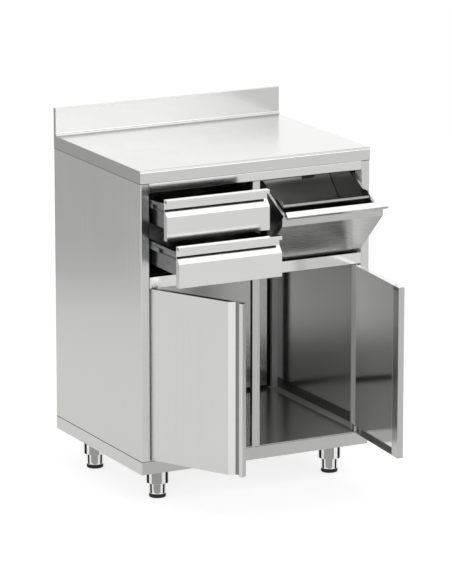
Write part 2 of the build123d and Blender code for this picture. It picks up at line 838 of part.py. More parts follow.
# Drawer boxes with a rim folded out over the slides, and the slide members that travel
rim_drop = 18.0
rim_depth = 9.5
rim_width = 9.7
box_depth_below_top = 95.0
box_length = slide_start_y + slide_length - front_y - front_thickness
wall_hole_radius = 2.0
wall_slot_height = 9.0
wall_slot_width = 3.0
wall_hole_drop = 66.0
wall_hole_setbacks = (75.0, 103.0)
wall_slot_setback = 88.0
box_low_x = slide_far_x
box_high_x = centre_left_x - slide_width
for name, top in drawer_tops.items():
    pull = drawer_pulls[name]
    box_front_y = front_y + front_thickness - pull
    box_top = top - rim_drop
    box_bottom = top - box_depth_below_top
    slide_top = slide_tops[name]
    with BuildPart() as drawer_box:
        block((box_low_x, box_front_y, box_bottom), (box_high_x, box_front_y + box_length, box_top))
        block(
            (box_low_x + front_sheet, box_front_y + front_sheet, box_bottom + front_sheet),
            (box_high_x - front_sheet, box_front_y + box_length - front_sheet, box_top + overrun),
            mode=Mode.SUBTRACT,
        )
        with BuildSketch(Plane.XZ.offset(-box_front_y)):
            add(
                folded_section(
                    (box_low_x + front_sheet, box_top),
                    (box_low_x - rim_width, box_top),
                    (box_low_x - rim_width, box_top - rim_depth),
                    side=Side.LEFT,
                    thickness=front_sheet,
                    radius=fold_radius,
                )
            )
        extrude(amount=-box_length)
        with BuildSketch(Plane.YZ.offset(box_low_x - slip_gap)):
            for setback in wall_hole_setbacks:
                with Locations((front_y - pull + setback, top - wall_hole_drop)):
                    Circle(wall_hole_radius)
            with Locations((front_y - pull + wall_slot_setback, top - wall_hole_drop)):
                Rectangle(wall_slot_width, wall_slot_height)
        extrude(amount=front_sheet + 2 * slip_gap, mode=Mode.SUBTRACT)
        split(bisect_by=Plane.YZ.offset(drawer_bay_middle_x), keep=Keep.BOTTOM)
        mirror(about=Plane.YZ.offset(drawer_bay_middle_x))
    save(drawer_box.part, f"{name}_drawer_box")

    with BuildPart() as slide_inners:
        with BuildSketch(Plane.XZ.offset(-(slide_start_y - pull))):
            add(
                folded_section(
                    (slide_far_x - slide_flange, slide_top),
                    (slide_far_x, slide_top),
                    (slide_far_x, slide_top - slide_height),
                    (slide_far_x - slide_flange, slide_top - slide_height),
                    side=Side.RIGHT,
                )
            )
        extrude(amount=-slide_length)
        mirror(about=Plane.YZ.offset(drawer_bay_middle_x))
    save(slide_inners.part, f"{name}_drawer_runners")

    middle_low_x = -opening_x + slide_middle_inset
    middle_high_x = slide_far_x - slide_middle_inset
    middle_high_z = slide_top - sheet - slide_middle_gap
    middle_low_z = slide_top - slide_height + sheet + slide_middle_gap
    with BuildPart() as slide_middles:
        with BuildSketch(Plane.XZ.offset(-(slide_start_y - pull / 2))):
            with Locations(((middle_low_x + middle_high_x) / 2, (middle_low_z + middle_high_z) / 2)):
                Rectangle(middle_high_x - middle_low_x, middle_high_z - middle_low_z)
                Rectangle(
                    middle_high_x - middle_low_x - 2 * sheet,
                    middle_high_z - middle_low_z - 2 * sheet,
                    mode=Mode.SUBTRACT,
                )
        extrude(amount=-slide_length)
        mirror(about=Plane.YZ.offset(drawer_bay_middle_x))
    save(slide_middles.part, f"{name}_slide_middles")

# Tilting body of the hopper, drawn closed: floor and rear wall from one sheet, two side plates with a rim
hopper_side_gap = 11.0
hopper_rim_width = 13.0
hopper_body_rise = 22.0
hopper_back = 275.0
hopper_back_rise = 48.0
hopper_shoulder = 243.0
hopper_shoulder_rise = 139.0
hopper_rim_rise = 220.0
hopper_low_x = right_front_low_x + hopper_side_gap
hopper_high_x = right_front_high_x - hopper_side_gap
hopper_corner_front = (front_y + front_thickness, hopper_bottom + hopper_body_rise)
hopper_corner_back = (front_y + hopper_back, hopper_bottom + hopper_body_rise)
hopper_corner_knee = (front_y + hopper_back, hopper_bottom + hopper_back_rise)
hopper_corner_shoulder = (front_y + hopper_shoulder, hopper_bottom + hopper_shoulder_rise)
hopper_corner_rim = (front_y + front_thickness, hopper_bottom + hopper_rim_rise)
with BuildPart() as hopper_body:
    with BuildSketch(Plane.YZ.offset(hopper_low_x)):
        add(
            folded_section(
                hopper_corner_front,
                hopper_corner_back,
                hopper_corner_knee,
                hopper_corner_shoulder,
                side=Side.LEFT,
                thickness=front_sheet,
                radius=0,
            )
        )
    extrude(amount=hopper_high_x - hopper_low_x)
    for low_x in (hopper_low_x, hopper_high_x - front_sheet):
        with BuildSketch(Plane.YZ.offset(low_x)):
            with BuildLine():
                Polyline(
                    hopper_corner_front,
                    hopper_corner_back,
                    hopper_corner_knee,
                    hopper_corner_shoulder,
                    hopper_corner_rim,
                    close=True,
                )
            make_face()
        extrude(amount=front_sheet)
    for low_x in (hopper_low_x, hopper_high_x - hopper_rim_width):
        with BuildSketch(Plane.YZ.offset(low_x)):
            with BuildLine():
                Polyline(
                    hopper_corner_rim,
                    hopper_corner_shoulder,
                    (hopper_corner_shoulder[0], hopper_corner_shoulder[1] - front_sheet),
                    (hopper_corner_rim[0], hopper_corner_rim[1] - front_sheet),
                    close=True,
                )
            make_face()
        extrude(amount=hopper_rim_width)
save(turn(hopper_body.part, *hopper_pivot_line), "hopper_body")

# Knock bar, between two bracket plates that stand on the hopper's rims
bar_radius = 6.0
bar_depth = 68.5
bar_rise = 208.3
bracket_thickness = 2.0
bracket_front = 60.0
bracket_back = 110.0
bracket_foot_rise = 179.0
bracket_nose_rise = 194.0
bracket_top_rise = 216.0
bracket_slope_start = 88.0
bracket_hole_radius = 3.0
bracket_hole_depth = 101.0
bracket_hole_rise = 188.0
bracket_low_x = hopper_low_x + hopper_rim_width
bracket_high_x = hopper_high_x - hopper_rim_width
with BuildPart() as bar_brackets:
    for low_x in (bracket_low_x, bracket_high_x - bracket_thickness):
        with BuildSketch(Plane.YZ.offset(low_x)):
            with BuildLine():
                Polyline(
                    (front_y + bracket_front, hopper_bottom + bracket_foot_rise),
                    (front_y + bracket_front, hopper_bottom + bracket_top_rise),
                    (front_y + bracket_slope_start, hopper_bottom + bracket_top_rise),
                    (front_y + bracket_back, hopper_bottom + bracket_nose_rise),
                    (front_y + bracket_back, hopper_bottom + bracket_foot_rise),
                    close=True,
                )
            make_face()
            with Locations((front_y + bracket_hole_depth, hopper_bottom + bracket_hole_rise)):
                Circle(bracket_hole_radius, mode=Mode.SUBTRACT)
        extrude(amount=bracket_thickness)
save(turn(bar_brackets.part, *hopper_pivot_line), "bar_brackets")

with BuildPart() as knock_bar:
    with BuildSketch(Plane.YZ.offset(bracket_low_x + bracket_thickness)):
        with Locations((front_y + bar_depth, hopper_bottom + bar_rise)):
            Circle(bar_radius)
    extrude(amount=bracket_high_x - bracket_low_x - 2 * bracket_thickness)
save(turn(knock_bar.part, *hopper_pivot_line), "knock_bar")

# Pins: upright ones for the doors, level ones for the hopper, each with its head inside the frame
with BuildPart() as hinge_pins:
    with BuildSketch(Plane.XY.offset(base_top - sheet)):
        with Locations(left_pivot, right_pivot):
            Circle(pin_head_radius)
    extrude(amount=-pin_head_height)
    with BuildSketch(Plane.XY.offset(base_top - sheet)):
        with Locations(left_pivot, right_pivot):
            Circle(pin_radius)
    extrude(amount=door_bottom + pin_reach - base_top + sheet)
    with BuildSketch(Plane.XY.offset(mid_rail_bottom + sheet)):
        with Locations(left_pivot, right_pivot):
            Circle(pin_head_radius)
    extrude(amount=pin_head_height)
    with BuildSketch(Plane.XY.offset(door_top - pin_reach)):
        with Locations(left_pivot, right_pivot):
            Circle(pin_radius)
    extrude(amount=mid_rail_bottom + sheet - door_top + pin_reach)
    for face_x, pin_end_x in (
        (centre_right_x - sheet, right_front_low_x + pin_reach),
        (opening_x + sheet, right_front_high_x - pin_reach),
    ):
        hand = 1 if pin_end_x > face_x else -1
        with BuildSketch(Plane.YZ.offset(face_x)):
            with Locations((hopper_pivot_y, hopper_pivot_z)):
                Circle(hopper_head_radius)
        extrude(amount=-hand * pin_head_height)
        with BuildSketch(Plane.YZ.offset(face_x)):
            with Locations((hopper_pivot_y, hopper_pivot_z)):
                Circle(pin_radius)
        extrude(amount=pin_end_x - face_x)
save(hinge_pins.part, "hinge_pins")

# Magnetic catches under the middle rail, and the strike plates on the doors' grips
strike_thickness = 1.0
strike_width = 30.0
strike_height = 12.0
strike_inset = 6.0
catch_width = 38.0
catch_depth = 16.0
catch_height = 12.0
catch_y = front_y + front_thickness + strike_thickness + stop_gap
with BuildPart() as door_catches:
    for hand, edge_x in ((-1, left_front_high_x), (1, right_front_low_x)):
        catch_xs = sorted((edge_x, edge_x + hand * catch_width))
        block(
            (catch_xs[0], catch_y, mid_rail_bottom - catch_height),
            (catch_xs[1], catch_y + catch_depth, mid_rail_bottom),
        )
save(door_catches.part, "door_catches")

for name, hand, edge_x, swing in (
    ("left_door", -1, left_front_high_x, left_pivot_line),
    ("right_door", 1, right_front_low_x, right_pivot_line),
):
    strike_xs = sorted((edge_x + hand * strike_inset, edge_x + hand * (strike_inset + strike_width)))
    with BuildPart() as strike:
        block(
            (strike_xs[0], front_y + front_thickness, door_top - strike_height),
            (strike_xs[1], front_y + front_thickness + strike_thickness, door_top),
        )
    save(turn(strike.part, *swing), f"{name}_strike")

# Rubber buffers under the top rail: two that catch the open hopper's rims, one that meets its closed front
buffer_length = 10.0
closed_buffer_width = 40.0
closed_buffer_depth = 6.0
closed_buffer_height = 14.0
rim_slope = degrees(
    atan2(hopper_corner_shoulder[1] - hopper_corner_rim[1], hopper_corner_shoulder[0] - hopper_corner_rim[0])
)
rim_reach = hypot(hopper_corner_rim[0] - hopper_pivot_y, hopper_corner_rim[1] - hopper_pivot_z)
rim_bearing = degrees(atan2(hopper_corner_rim[1] - hopper_pivot_z, hopper_corner_rim[0] - hopper_pivot_y))
open_rim_y = hopper_pivot_y + rim_reach * cos(radians(rim_bearing + hopper_open))
open_rim_z = hopper_pivot_z + rim_reach * sin(radians(rim_bearing + hopper_open))
buffer_back_y = front_y + post_depth
buffer_bottom = (
    open_rim_z
    + (buffer_back_y - open_rim_y) * tan(radians(rim_slope + hopper_open))
    + stop_gap
)
with BuildPart() as hopper_buffers:
    for low_x in (hopper_low_x, bracket_high_x):
        block(
            (low_x, buffer_back_y - buffer_length, buffer_bottom),
            (low_x + hopper_rim_width, buffer_back_y, top_rail_bottom),
        )
    middle_x = (hopper_low_x + hopper_high_x) / 2
    block(
        (
            middle_x - closed_buffer_width / 2,
            front_y + front_thickness + stop_gap,
            top_rail_bottom - closed_buffer_height,
        ),
        (
            middle_x + closed_buffer_width / 2,
            front_y + front_thickness + stop_gap + closed_buffer_depth,
            top_rail_bottom,
        ),
    )
save(hopper_buffers.part, "hopper_buffers")
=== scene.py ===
import bpy
import bmesh
import json
from math import radians
from mathutils import Matrix, Vector

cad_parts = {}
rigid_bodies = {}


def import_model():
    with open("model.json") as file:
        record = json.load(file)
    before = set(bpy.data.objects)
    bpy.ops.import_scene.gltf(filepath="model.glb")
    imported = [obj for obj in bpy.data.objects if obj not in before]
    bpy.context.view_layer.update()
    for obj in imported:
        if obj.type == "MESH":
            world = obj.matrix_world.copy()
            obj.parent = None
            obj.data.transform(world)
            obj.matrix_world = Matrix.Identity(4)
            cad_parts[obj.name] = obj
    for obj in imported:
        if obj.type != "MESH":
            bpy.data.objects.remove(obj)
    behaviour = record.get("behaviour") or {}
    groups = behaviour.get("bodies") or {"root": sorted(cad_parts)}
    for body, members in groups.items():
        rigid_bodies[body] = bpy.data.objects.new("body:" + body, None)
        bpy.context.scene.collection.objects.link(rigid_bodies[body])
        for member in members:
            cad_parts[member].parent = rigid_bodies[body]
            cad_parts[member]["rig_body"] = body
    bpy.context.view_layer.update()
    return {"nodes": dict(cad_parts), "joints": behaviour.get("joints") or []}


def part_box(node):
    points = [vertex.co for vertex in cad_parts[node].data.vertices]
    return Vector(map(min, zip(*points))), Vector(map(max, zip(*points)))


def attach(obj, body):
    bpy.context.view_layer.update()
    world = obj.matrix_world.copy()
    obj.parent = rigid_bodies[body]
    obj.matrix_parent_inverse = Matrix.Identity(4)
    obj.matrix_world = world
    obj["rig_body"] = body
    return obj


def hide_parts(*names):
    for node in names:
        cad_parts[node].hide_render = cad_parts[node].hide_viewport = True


# A stainless steel cabinet for a coffee machine, dressed around its CAD model.
# Metres, +Z up, the front towards -Y, the origin on the floor.

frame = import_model()
nodes = frame["nodes"]
MM = 0.001
corner_names = ("front_left", "front_right", "rear_left", "rear_right")


def linear(colour):
    """An sRGB hex colour as linear red, green, blue and alpha."""
    channels = [int(colour[i:i + 2], 16) / 255 for i in (1, 3, 5)]
    return [c / 12.92 if c <= 0.04045 else ((c + 0.055) / 1.055) ** 2.4 for c in channels] + [1.0]


def add_node(tree, kind, settings=None, inputs=None):
    """Adds a node with its settings, and its inputs as values or as links from other sockets."""
    node = tree.nodes.new(kind)
    for name, value in (settings or {}).items():
        setattr(node, name, value)
    for name, value in (inputs or {}).items():
        socket = node.inputs[name]
        if isinstance(value, bpy.types.NodeSocket):
            tree.links.new(value, socket)
        else:
            socket.default_value = value
    return node


def new_material(name):
    """An empty node material and its tree."""
    material = bpy.data.materials.new(name)
    material.use_nodes = True
    material.node_tree.nodes.clear()
    return material, material.node_tree


# Finishes

def steel_sheet(name, lines, shades, roughness, line_depth=0.03, metallic=1.0):
    """304 stainless steel with the lines that a belt, a roll or a lathe leaves along the named axes.

    Real lines are about 0.1 mm apart. They are drawn 3 mm apart so that they show.
    The eye sees a satin sheen, drawn out across the lines, with faint cloudy patches from the rolling.
    """
    # How often the lines change in a metre of their length and how many lie side by side in a metre
    along, across = 0.8, 330.0
    clouds_per_metre = 4.0
    line_share, cloud_share = 0.6, 0.4
    # The levels of lines and clouds together at which each shade and each roughness is reached
    shade_ends = (0.35, 0.65)
    rough_from, rough_to = 0.3, 0.7
    deepest = 0.4 * MM
    material, tree = new_material(name)
    place = add_node(tree, "ShaderNodeTexCoord").outputs["Object"]
    scale = [along if axis in lines else across for axis in "XYZ"]
    drawn_out = add_node(tree, "ShaderNodeMapping", {}, {"Vector": place, "Scale": scale})
    hair = add_node(tree, "ShaderNodeTexNoise", {"noise_dimensions": "3D"},
                    {"Vector": drawn_out.outputs["Vector"], "Scale": 1.0, "Detail": 4.0, "Roughness": 0.6})
    cloud = add_node(tree, "ShaderNodeTexNoise", {"noise_dimensions": "3D"},
                     {"Vector": place, "Scale": clouds_per_metre, "Detail": 3.0, "Roughness": 0.5})
    mixed = add_node(tree, "ShaderNodeMath", {"operation": "MULTIPLY"},
                     {0: hair.outputs["Fac"], 1: line_share})
    mixed = add_node(tree, "ShaderNodeMath", {"operation": "MULTIPLY_ADD"},
                     {0: cloud.outputs["Fac"], 1: cloud_share, 2: mixed.outputs[0]})
    colour = add_node(tree, "ShaderNodeValToRGB", {}, {"Fac": mixed.outputs[0]})
    for stop, position, shade in zip(colour.color_ramp.elements, shade_ends, shades):
        stop.position = position
        stop.color = linear(shade)
    rough = add_node(tree, "ShaderNodeMapRange", {},
                     {"Value": mixed.outputs[0], "From Min": rough_from, "From Max": rough_to,
                      "To Min": roughness[0], "To Max": roughness[1]})
    relief = add_node(tree, "ShaderNodeBump", {},
                      {"Height": hair.outputs["Fac"], "Strength": line_depth, "Distance": deepest})
    shader = add_node(tree, "ShaderNodeBsdfPrincipled", {},
                      {"Base Color": colour.outputs["Color"], "Metallic": metallic,
                       "Roughness": rough.outputs["Result"], "Normal": relief.outputs["Normal"]})
    add_node(tree, "ShaderNodeOutputMaterial", {}, {"Surface": shader.outputs["BSDF"]})
    return material


def grained_polymer(name, shades, roughness, grain_mm, grain_depth):
    """Moulded plastic or rubber with a fine spark-eroded grain: dull, with small soft glints."""
    # Worn patches in a metre, and the levels of wear at which each shade is reached
    wear_per_metre = 40.0
    shade_ends = (0.4, 0.7)
    deepest = 0.3 * MM
    material, tree = new_material(name)
    place = add_node(tree, "ShaderNodeTexCoord").outputs["Object"]
    grain = add_node(tree, "ShaderNodeTexNoise", {},
                     {"Vector": place, "Scale": 1.0 / (grain_mm * MM), "Detail": 3.0, "Roughness": 0.6})
    wear = add_node(tree, "ShaderNodeTexNoise", {},
                    {"Vector": place, "Scale": wear_per_metre, "Detail": 3.0})
    colour = add_node(tree, "ShaderNodeValToRGB", {}, {"Fac": wear.outputs["Fac"]})
    for stop, position, shade in zip(colour.color_ramp.elements, shade_ends, shades):
        stop.position = position
        stop.color = linear(shade)
    rough = add_node(tree, "ShaderNodeMapRange", {},
                     {"Value": wear.outputs["Fac"], "To Min": roughness[0], "To Max": roughness[1]})
    relief = add_node(tree, "ShaderNodeBump", {},
                      {"Height": grain.outputs["Fac"], "Strength": grain_depth, "Distance": deepest})
    shader = add_node(tree, "ShaderNodeBsdfPrincipled", {},
                      {"Base Color": colour.outputs["Color"], "Roughness": rough.outputs["Result"],
                       "Normal": relief.outputs["Normal"]})
    add_node(tree, "ShaderNodeOutputMaterial", {}, {"Surface": shader.outputs["BSDF"]})
    return material


def particle_board(name, shades):
    """Raw moisture-proof chipboard: pale and darker brown flakes about 5 mm wide, pressed flat and dull."""
    flakes_per_metre = 220.0
    material, tree = new_material(name)
    place = add_node(tree, "ShaderNodeTexCoord").outputs["Object"]
    flakes = add_node(tree, "ShaderNodeTexVoronoi", {"feature": "F1"},
                      {"Vector": place, "Scale": flakes_per_metre})
    colour = add_node(tree, "ShaderNodeValToRGB", {}, {"Fac": flakes.outputs["Color"]})
    for stop, shade in zip(colour.color_ramp.elements, shades):
        stop.color = linear(shade)
    shader = add_node(tree, "ShaderNodeBsdfPrincipled", {},
                      {"Base Color": colour.outputs["Color"], "Roughness": 0.85})
    add_node(tree, "ShaderNodeOutputMaterial", {}, {"Surface": shader.outputs["BSDF"]})
    return material


# Ground along the counter: a soft bright sheen that spreads over the whole top
worktop_steel = steel_sheet("stainless_worktop_ground_lengthwise", lines="X",
                            shades=("#BFBFBE", "#C3C3C2"), roughness=(0.18, 0.24))
# Ground the short way: edges duller and greyer than the sheet that they end. On the mullion, the base's
# front and the hopper's slope the darker grey is painted shade
edge_and_shade_steel = steel_sheet("stainless_edge_ground_across_and_painted_shade", lines="Z",
                         shades=("#ACACAB", "#B1B1B0"), roughness=(0.26, 0.32))
# Ground upright: an even satin grey over a large panel, lighter towards the floor that it mirrors
panel_steel = steel_sheet("stainless_panel_ground_upright", lines="Z",
                          shades=("#BEBEBD", "#C2C2C1"), roughness=(0.22, 0.28))
# A finer belt on the posts: a sharper sheen in narrow upright streaks
frame_steel = steel_sheet("stainless_frame_ground_upright", lines="Z",
                          shades=("#BBBBBA", "#C0C0BF"), roughness=(0.13, 0.18))
# A finer belt on the rails: bright bars with soft mirrored shapes along them
rail_steel = steel_sheet("stainless_rail_ground_lengthwise", lines="X",
                         shades=("#C7C7C6", "#CCCCCB"), roughness=(0.13, 0.18))
# Drawer fronts: a clear light grey that darkens where a neighbour is mirrored
front_steel = steel_sheet("stainless_front_ground_lengthwise", lines="X",
                          shades=("#C6C6C5", "#CACAC9"), roughness=(0.14, 0.19))
# Hopper front, ground coarser: a wide soft highlight low on its slanted face, and a grey lighter than the
# drawer fronts', which is painted light on its downturned face
hopper_painted_light_steel = steel_sheet("stainless_hopper_front_ground_lengthwise_painted_light", lines="X",
                           shades=("#DCDCDB", "#E0E0DF"), roughness=(0.24, 0.29))
# Doors: a calm light grey without a clear mirrored shape
door_steel = steel_sheet("stainless_door_ground_upright", lines="Z",
                         shades=("#C3C3C2", "#C7C7C6"), roughness=(0.16, 0.22))
# Unground sheet, as it leaves the rolls: smooth, cool and almost without lines
inner_steel = steel_sheet("stainless_inner_sheet_mill_finish", lines="X",
                          shades=("#D8D8D7", "#DCDCDB"), roughness=(0.16, 0.20),
                          line_depth=0.01, metallic=0.93)
# Compartment floor, unground and scuffed a little: a milky mirror of the walls above it
floor_steel = steel_sheet("stainless_compartment_floor_mill_finish", lines="X",
                          shades=("#DEDEDD", "#E2E2E1"), roughness=(0.16, 0.20),
                          line_depth=0.01, metallic=0.80)
# Door linings, unground and never handled: the clearest mirror on the cabinet
lining_steel = steel_sheet("stainless_door_lining_mill_finish", lines="Z",
                           shades=("#E4E4E3", "#E8E8E7"), roughness=(0.08, 0.12), line_depth=0.003)
# Back liner, unground: dark and cloudy, with a broad pale gleam
liner_steel = steel_sheet("stainless_back_liner_mill_finish", lines="X",
                          shades=("#BCBCBB", "#C2C2C1"), roughness=(0.23, 0.28), line_depth=0.01)
# Drawer boxes and bay walls, unground: a dark grey of painted shade, which drops to black in the depth
bay_painted_shade_steel = steel_sheet("stainless_drawer_bay_painted_shade", lines="Y",
                        shades=("#7A7A79", "#808080"), roughness=(0.16, 0.22), line_depth=0.01)
# Hopper body, unground: mid grey with blurred bands from the bar across it
hopper_inner_steel = steel_sheet("stainless_hopper_body_mill_finish", lines="X",
                                 shades=("#B8B8B7", "#BEBEBD"), roughness=(0.22, 0.28), line_depth=0.02)
# Slope of a folded grip: a crisp bright band along the front, partly the sheen of a finer grind and partly
# painted light, a lighter grey than the front that it is folded from
chamfer_painted_light_steel = steel_sheet("stainless_grip_slope_ground_painted_light", lines="X",
                            shades=("#D2D2D1", "#D6D6D5"), roughness=(0.12, 0.16), line_depth=0.02)
# Knock bar, turned on a lathe: fine rings with one thin highlight, and a dark grey that is painted shade
# inside the hopper
bar_painted_shade_steel = steel_sheet("stainless_knock_bar_turned_painted_shade", lines="YZ",
                        shades=("#8A8A89", "#929291"), roughness=(0.18, 0.24), line_depth=0.05)
# Narrow lips, flanges and hinge strips, brushed dull: a pale, nearly matt grey, which is painted light so
# that they read lit beside the shaded insides
lip_painted_light_steel = steel_sheet("stainless_post_lip_ground_upright", lines="Z",
                        shades=("#DCDCDB", "#E2E2E1"), roughness=(0.42, 0.50), metallic=0.15)
# Painted shade, almost black, for the undersides of folds, joints and depths that hardly any light reaches
painted_shade_steel = steel_sheet("stainless_painted_shade_black", lines="X",
                         shades=("#202020", "#2A2A2A"), roughness=(0.40, 0.50), line_depth=0.02)
# Painted shade, a dull mid grey: in the finger recess of a door's grip, so that the grip reads as a
# channel, and along the foot of a side panel's inside
recess_painted_shade_steel = steel_sheet("stainless_painted_shade_grey", lines="Z",
                           shades=("#7A7A79", "#848483"), roughness=(0.25, 0.35), line_depth=0.02)
# Leg tubes, turned and polished: bright, with dark and light lines that follow the tube
turned_steel = steel_sheet("stainless_leg_tube_polished", lines="XY",
                           shades=("#DEDEDD", "#E6E6E5"), roughness=(0.06, 0.09), line_depth=0.20)
# Zinc plating on slides, plates and bolts: a bluish, flat grey
plated_steel = steel_sheet("zinc_plated_slide_steel", lines="Y",
                           shades=("#7E8183", "#8C8F91"), roughness=(0.30, 0.42), line_depth=0.05)
# Foot pads: a deep black that mirrors nothing
foot_plastic = grained_polymer("black_nylon_foot", shades=("#080808", "#121213"),
                               roughness=(0.60, 0.75), grain_mm=0.8, grain_depth=0.25)
# Catches: a plain mid grey with a weak shine
catch_plastic = grained_polymer("grey_nylon_catch", shades=("#4A4A4B", "#5C5C5D"),
                                roughness=(0.40, 0.55), grain_mm=0.8, grain_depth=0.20)
# Bushes: a waxy white with a soft shine
bush_plastic = grained_polymer("white_acetal_bush", shades=("#D6D6D2", "#E6E6E2"),
                               roughness=(0.30, 0.42), grain_mm=0.6, grain_depth=0.10)
# Buffers: a dusty black
buffer_rubber = grained_polymer("black_buffer_rubber", shades=("#101010", "#1E1E1E"),
                                roughness=(0.70, 0.85), grain_mm=1.0, grain_depth=0.30)
core_board = particle_board("raw_chipboard_core", shades=("#7B6245", "#B79A70"))


# Where a finish, a painted shade or a painted light ends on a piece

# The length of a face's unit normal along an axis, from which the face counts as looking straight
# along it, as the hopper's rim, as its slanting rear wall, as leaning, and as turned a little
square_on = 0.9
rim_upward = 0.8
wall_slant = 0.6
leaning = 0.5
turned_a_little = 0.3
# Below this length a face is edge on, and above this one a door's face is its flat front
edge_on = 0.1
flat_front = 0.95

# With the fronts closed, how far a grip's nose reaches from its end, and how far the painted shade beyond
# it
nose_height = 12.5 * MM
shaded_height = 35.0 * MM
# Where the grips of the left and the right door end, and how far from the middle their ends may lie
grip_ends = {-1: -17.0 * MM, 1: 15.0 * MM}
door_end_reach = 18.0 * MM
# How high the other fronts reach, and how exactly a face has to lie under a grip
front_tops = {"upper_drawer_front": 989.0 * MM, "lower_drawer_front": 860.0 * MM,
              "hopper_front": 989.0 * MM}
tolerance = 0.5 * MM
# How far from the middle the strip along a door's hinges starts
hinge_strip_start = 333.0 * MM

# How far out a side panel's inner face starts and the lip of its front post ends
panel_reach = 390.0 * MM
# Below these heights lie a side panel's bottom flange, the painted shade above the compartment's floor, the
# cup round a foot's tube, and the painted shade in the depth of the hopper
flange_below = 160.0 * MM
shaded_foot = 176.0 * MM
cup_top = 13.0 * MM
dark_depth = 870.0 * MM
# The hopper's middle across the cabinet, how far the part of its rim that is painted in shade reaches each
# way from there, and where the dark strip at the right end of its rear wall starts
hopper_middle = 192.0 * MM
rim_reach = 157.0 * MM
dark_strip_start = 355.0 * MM

# The lower and upper edge of the strip of a sheet where the shade of the joint above it is painted
joint_strips = {
    "side_panel_left": (1018.2 * MM, 1019.9 * MM),
    "side_panel_right": (1018.2 * MM, 1019.9 * MM),
    "top_rail_front": (1018.4 * MM, 1019.9 * MM),
    "base_tray": (140.2 * MM, 141.9 * MM),
}
# Other heights at which a piece changes its finish
finish_heights = {
    "side_panel_left": shaded_foot,
    "side_panel_right": shaded_foot,
    "hopper_body": dark_depth,
}
finish_heights.update({f"foot_tube_{corner}": cup_top for corner in corner_names})


def hand_of(node):
    """1 for a piece of the right side and -1 for one of the left."""
    return 1 if "right" in node else -1


def closed_place(node):
    """What carries a node's points from the rest pose to where they lie with its front closed."""
    body = nodes[node]["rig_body"]
    for joint in frame["joints"]:
        if joint["child"] == body and joint["type"] == "hinge":
            pivot = Matrix.Translation(Vector(joint["pos_m"]))
            swing = Matrix.Rotation(radians(joint["range_deg"][0]), 4, Vector(joint["axis"]))
            return pivot @ swing @ pivot.inverted()
        if joint["child"] == body:
            return Matrix.Translation(Vector(joint["axis"]) * joint["range_m"][0])
    return Matrix.Identity(4)


def under_grip(node, centre, normal):
    """Whether a face of a front lies under its folded grip, where its shade is painted."""
    place = closed_place(node)
    spot = place @ centre
    facing = place.to_3x3() @ normal
    if "door" in node:
        hand = hand_of(node)
        reach = (spot.x - grip_ends[hand]) * hand
        return facing.y < -leaning and nose_height < reach < shaded_height
    return facing.z < -square_on and abs(spot.z - front_tops[node] + nose_height) < tolerance


def chamfer_face(node, centre, normal):
    """Whether a face of a front is the slope between its grip recess and its face."""
    facing = closed_place(node).to_3x3() @ normal
    if "door" in node:
        slopes = -flat_front < facing.y < -leaning
        return slopes and facing.x * hand_of(node) < -turned_a_little
    return facing.y < -leaning and facing.z > turned_a_little


def front_top(node, centre, normal):
    """Whether a face is the top of a front, which its folded grip turns to the sky."""
    return (closed_place(node).to_3x3() @ normal).z > square_on


def door_end(node, centre, normal):
    """Whether a face of a door's skin is the end of its grip."""
    place = closed_place(node)
    facing = place.to_3x3() @ normal
    return abs(facing.x) > square_on and abs((place @ centre).x) < door_end_reach


def hinge_strip(node, centre, normal):
    """Whether a face of a door's inner sheet is the strip along its hinges, which is painted light."""
    return abs((closed_place(node) @ centre).x) > hinge_strip_start


def inside_face(node, centre, normal):
    """Whether a face of a side panel or the back panel looks into the cabinet."""
    if node == "back_panel":
        return normal.y < -square_on
    hand = hand_of(node)
    return normal.x * hand < -square_on and centre.x * hand > panel_reach


def post_lip(node, centre, normal):
    """Whether a face of a side panel is the lip of its front post, beside the opening."""
    hand = hand_of(node)
    return normal.x * hand < -square_on and centre.x * hand < panel_reach and centre.y < 0


def panel_foot(node, centre, normal):
    """Whether a face is the lowest strip of a side panel's inside, where the shade above the floor is
    painted.
    """
    return inside_face(node, centre, normal) and centre.z < shaded_foot


def bottom_flange(node, centre, normal):
    """Whether a face is the top of a side panel's bottom flange, level with the compartment's floor."""
    return normal.z > square_on and centre.z < flange_below


def pad_cup(node, centre, normal):
    """Whether a face of a foot's tube lies in the cup of its plastic pad."""
    return centre.z < cup_top


def darker_edge_face(node, centre, normal):
    """Whether a face gets the darker edge grey: a worktop end, ground the short way, and the base tray's
    front, as painted shade.
    """
    if node == "worktop":
        return abs(normal.x) > square_on
    return normal.y < -square_on and centre.y < 0


def post_side(node, centre, normal):
    """Whether a face of the mullion looks sideways into the cabinet, where the shade of the doors is
    painted.
    """
    return abs(normal.x) > square_on


def hopper_rim(node, centre, normal):
    """Whether a face is the inner part of the hopper's rim, where the shade of the front and the bar is
    painted.
    """
    return normal.z > rim_upward and abs(centre.x - hopper_middle) < rim_reach


def hopper_depth(node, centre, normal):
    """Whether a face lies in the depth of the hopper, where its shade is painted, or in the strip at the
    right end of its rear wall, which is painted dark.
    """
    rear_wall = normal.y < -wall_slant and normal.z > wall_slant
    side_wall = normal.x * (centre.x - hopper_middle) < 0 and abs(normal.x) > square_on
    if rear_wall and centre.x > dark_strip_start:
        return True
    return (rear_wall or side_wall) and centre.z < dark_depth


def joint_shade(node, centre, normal):
    """Whether a face is the thin strip along a joint where the joint's shade is painted."""
    low, high = joint_strips[node]
    return low < centre.z < high and abs(normal.z) < edge_on


